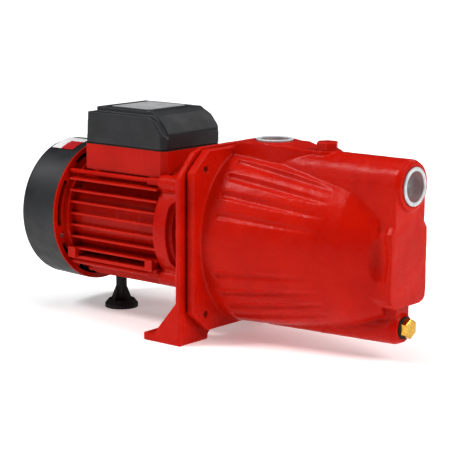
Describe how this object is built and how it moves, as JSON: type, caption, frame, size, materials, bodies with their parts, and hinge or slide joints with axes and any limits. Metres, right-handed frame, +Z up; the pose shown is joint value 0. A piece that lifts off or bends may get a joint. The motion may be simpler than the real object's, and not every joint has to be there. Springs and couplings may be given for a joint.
{
  "type": "jet pump",
  "caption": "Self-priming shallow well jet pump: finned motor with fan cover and terminal box, footed bracket, and a fluted cast body with top discharge and front suction ports.",
  "frame": {"origin": "midway between the two foot bolt holes, on the plane the feet stand on", "axes": "+X along the shaft from the motor towards the suction port, +Z up through the discharge port"},
  "size_m": [0.4311, 0.176, 0.2135],
  "materials": {
    "cast_enamel": "red enamel over sand-cast iron, glossy",
    "smooth_enamel": "red enamel over smooth aluminium and sheet, glossy",
    "black_plastic": "satin moulded plastic",
    "foot_rubber": "matt moulded rubber",
    "seal_rubber": "matt",
    "label": "satin printed film, left blank",
    "brass": "machined, bright",
    "zinc_steel": "zinc plated",
    "stainless": "ground",
    "bearing_steel": "polished",
    "lamination": "stacked electrical steel sheet",
    "winding": "varnished copper wire",
    "carbon": "lapped carbon",
    "ceramic": "lapped ceramic",
    "pump_plastic": "glass-filled plastic, moulded",
    "housing_plastic": "moulded plastic"
  },
  "bodies": {
    "root": {"pump_body": "cast_enamel", "pump_bracket": "cast_enamel", "motor_frame": "smooth_enamel", "rear_end_shield": "smooth_enamel", "tie_rods": "smooth_enamel", "terminal_box_base": "smooth_enamel", "fan_cover": "black_plastic", "terminal_box_cover": "black_plastic", "cable_gland": "black_plastic", "support_foot": "foot_rubber", "body_gasket": "seal_rubber", "box_gasket": "seal_rubber", "venturi_ring": "seal_rubber", "rating_plate": "label", "cover_sticker": "label", "body_bolts": "zinc_steel", "diffuser_screws": "zinc_steel", "cover_screws": "zinc_steel", "fan_cover_screws": "zinc_steel", "support_screw": "zinc_steel", "earth_screw": "zinc_steel", "preload_washer": "stainless", "front_bearing": "bearing_steel", "rear_bearing": "bearing_steel", "stator_core": "lamination", "stator_winding": "winding", "seal_seat": "ceramic", "diffuser": "pump_plastic", "venturi_tube": "pump_plastic", "nozzle": "pump_plastic", "capacitor": "housing_plastic", "terminal_block": "housing_plastic"},
    "rotor": {"shaft": "stainless", "rotor_core": "lamination", "impeller": "brass", "impeller_nut": "stainless", "cooling_fan": "black_plastic", "fan_clip": "zinc_steel", "water_slinger": "seal_rubber", "seal_head": "carbon", "seal_spring": "stainless"},
    "priming_seal_body": {"priming_plug_seal": "smooth_enamel"},
    "priming_plug_body": {"priming_plug": "cast_enamel"},
    "drain_washer_body": {"drain_plug_washer": "seal_rubber"},
    "drain_plug_body": {"drain_plug": "brass"}
  },
  "joints": [
    {"name": "rotor_spin", "type": "hinge", "parent": "root", "child": "rotor", "pos_m": [0, 0, 0.1], "axis": [1, 0, 0], "continuous": true},
    {"name": "priming_lift", "type": "slide", "parent": "root", "child": "priming_seal_body", "axis": [0, 0, 1], "range_m": [0, 0.01203]},
    {"name": "priming_turn", "type": "hinge", "parent": "priming_seal_body", "child": "priming_plug_body", "pos_m": [0.141, 0, 0.19], "axis": [0, 0, 1], "range_deg": [0, 3240]},
    {"name": "drain_lift", "type": "slide", "parent": "root", "child": "drain_washer_body", "axis": [1, 0, 0], "range_m": [0, 0.01203]},
    {"name": "drain_turn", "type": "hinge", "parent": "drain_washer_body", "child": "drain_plug_body", "pos_m": [0.23, 0, 0.0335], "axis": [1, 0, 0], "range_deg": [0, 3240]}
  ],
  "couplings": [
    {"joint": "priming_lift", "follows": "priming_turn", "m_per_rad": 0.00021277},
    {"joint": "drain_lift", "follows": "drain_turn", "m_per_rad": 0.00021277}
  ]
}
